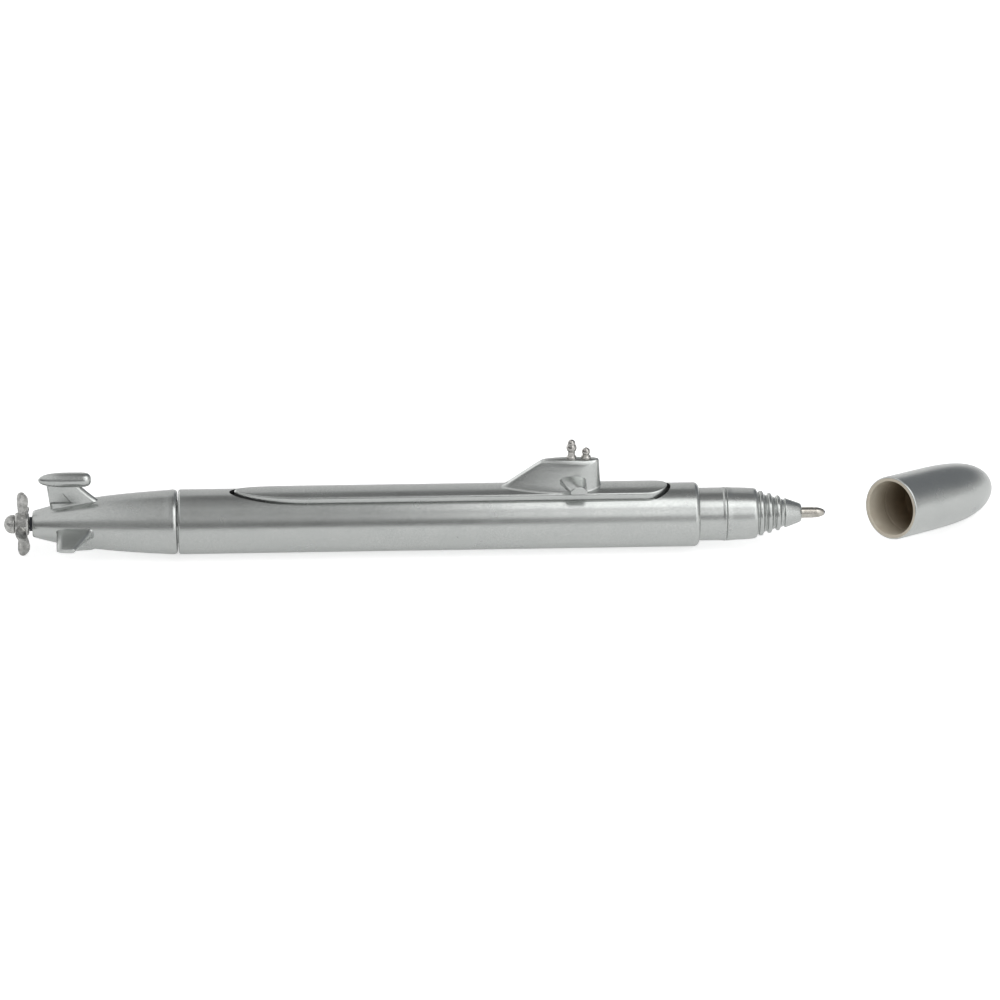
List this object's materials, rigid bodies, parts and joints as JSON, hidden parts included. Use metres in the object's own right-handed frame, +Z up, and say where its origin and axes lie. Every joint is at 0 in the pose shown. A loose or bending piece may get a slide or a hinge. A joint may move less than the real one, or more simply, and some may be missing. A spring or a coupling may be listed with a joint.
{
  "type": "novelty ballpoint pen",
  "caption": "Capped ballpoint pen shaped as a submarine: round barrel, deck with tower and masts, finned tail, spinning propeller, ribbed nose and bullet cap, shown off.",
  "frame": {"origin": "on the keel, under the middle of the barrel", "axes": "+X along the pen from the propeller to the writing tip, +Z up through the sail"},
  "size_m": [0.1995, 0.0295, 0.024],
  "materials": {
    "silver_paint": "satin silver paint on moulded plastic",
    "plated_metal": "plated, glossy",
    "dark_plastic": "moulded",
    "clear_plastic": "extruded, translucent",
    "ink": "thick paste",
    "nickel_silver": "turned, bright",
    "ball_steel": "ground"
  },
  "bodies": {
    "hull": {"barrel": "silver_paint", "deck_plate": "silver_paint", "sail": "silver_paint", "periscope_mast": "plated_metal", "snorkel_mast": "plated_metal", "tail_cone": "silver_paint", "upper_rudder": "silver_paint", "rudder_pod": "silver_paint", "propeller_pin": "plated_metal", "propeller_washer": "dark_plastic"},
    "propeller": {"propeller": "silver_paint"},
    "refill": {"refill_tube": "clear_plastic", "ink_column": "ink", "refill_tip": "nickel_silver"},
    "ball": {"writing_ball": "ball_steel"},
    "nose": {"grip_section": "silver_paint", "refill_bush": "clear_plastic"},
    "cap": {"cap": "silver_paint"}
  },
  "joints": [
    {"name": "propeller_spin", "type": "hinge", "parent": "hull", "child": "propeller", "pos_m": [-0.0831, 0, 0.0065], "axis": [1, 0, 0], "continuous": true},
    {"name": "nose_advance", "type": "slide", "parent": "hull", "child": "refill", "axis": [1, 0, 0], "range_m": [0, 0.005]},
    {"name": "grip_unscrew", "type": "hinge", "parent": "refill", "child": "nose", "pos_m": [0.052, 0, 0.0065], "axis": [1, 0, 0], "range_deg": [0, 1800]},
    {"name": "ball_roll", "type": "hinge", "parent": "refill", "child": "ball", "pos_m": [0.077, 0, 0.0065], "axis": [0, 1, 0], "continuous": true},
    {"name": "cap_slide", "type": "slide", "parent": "hull", "child": "cap", "axis": [0.6871, 0.6992, -0.1977], "range_m": [-0.0255, 0]}
  ],
  "couplings": [
    {"joint": "grip_unscrew", "follows": "nose_advance", "rad_per_m": 6283.2}
  ]
}
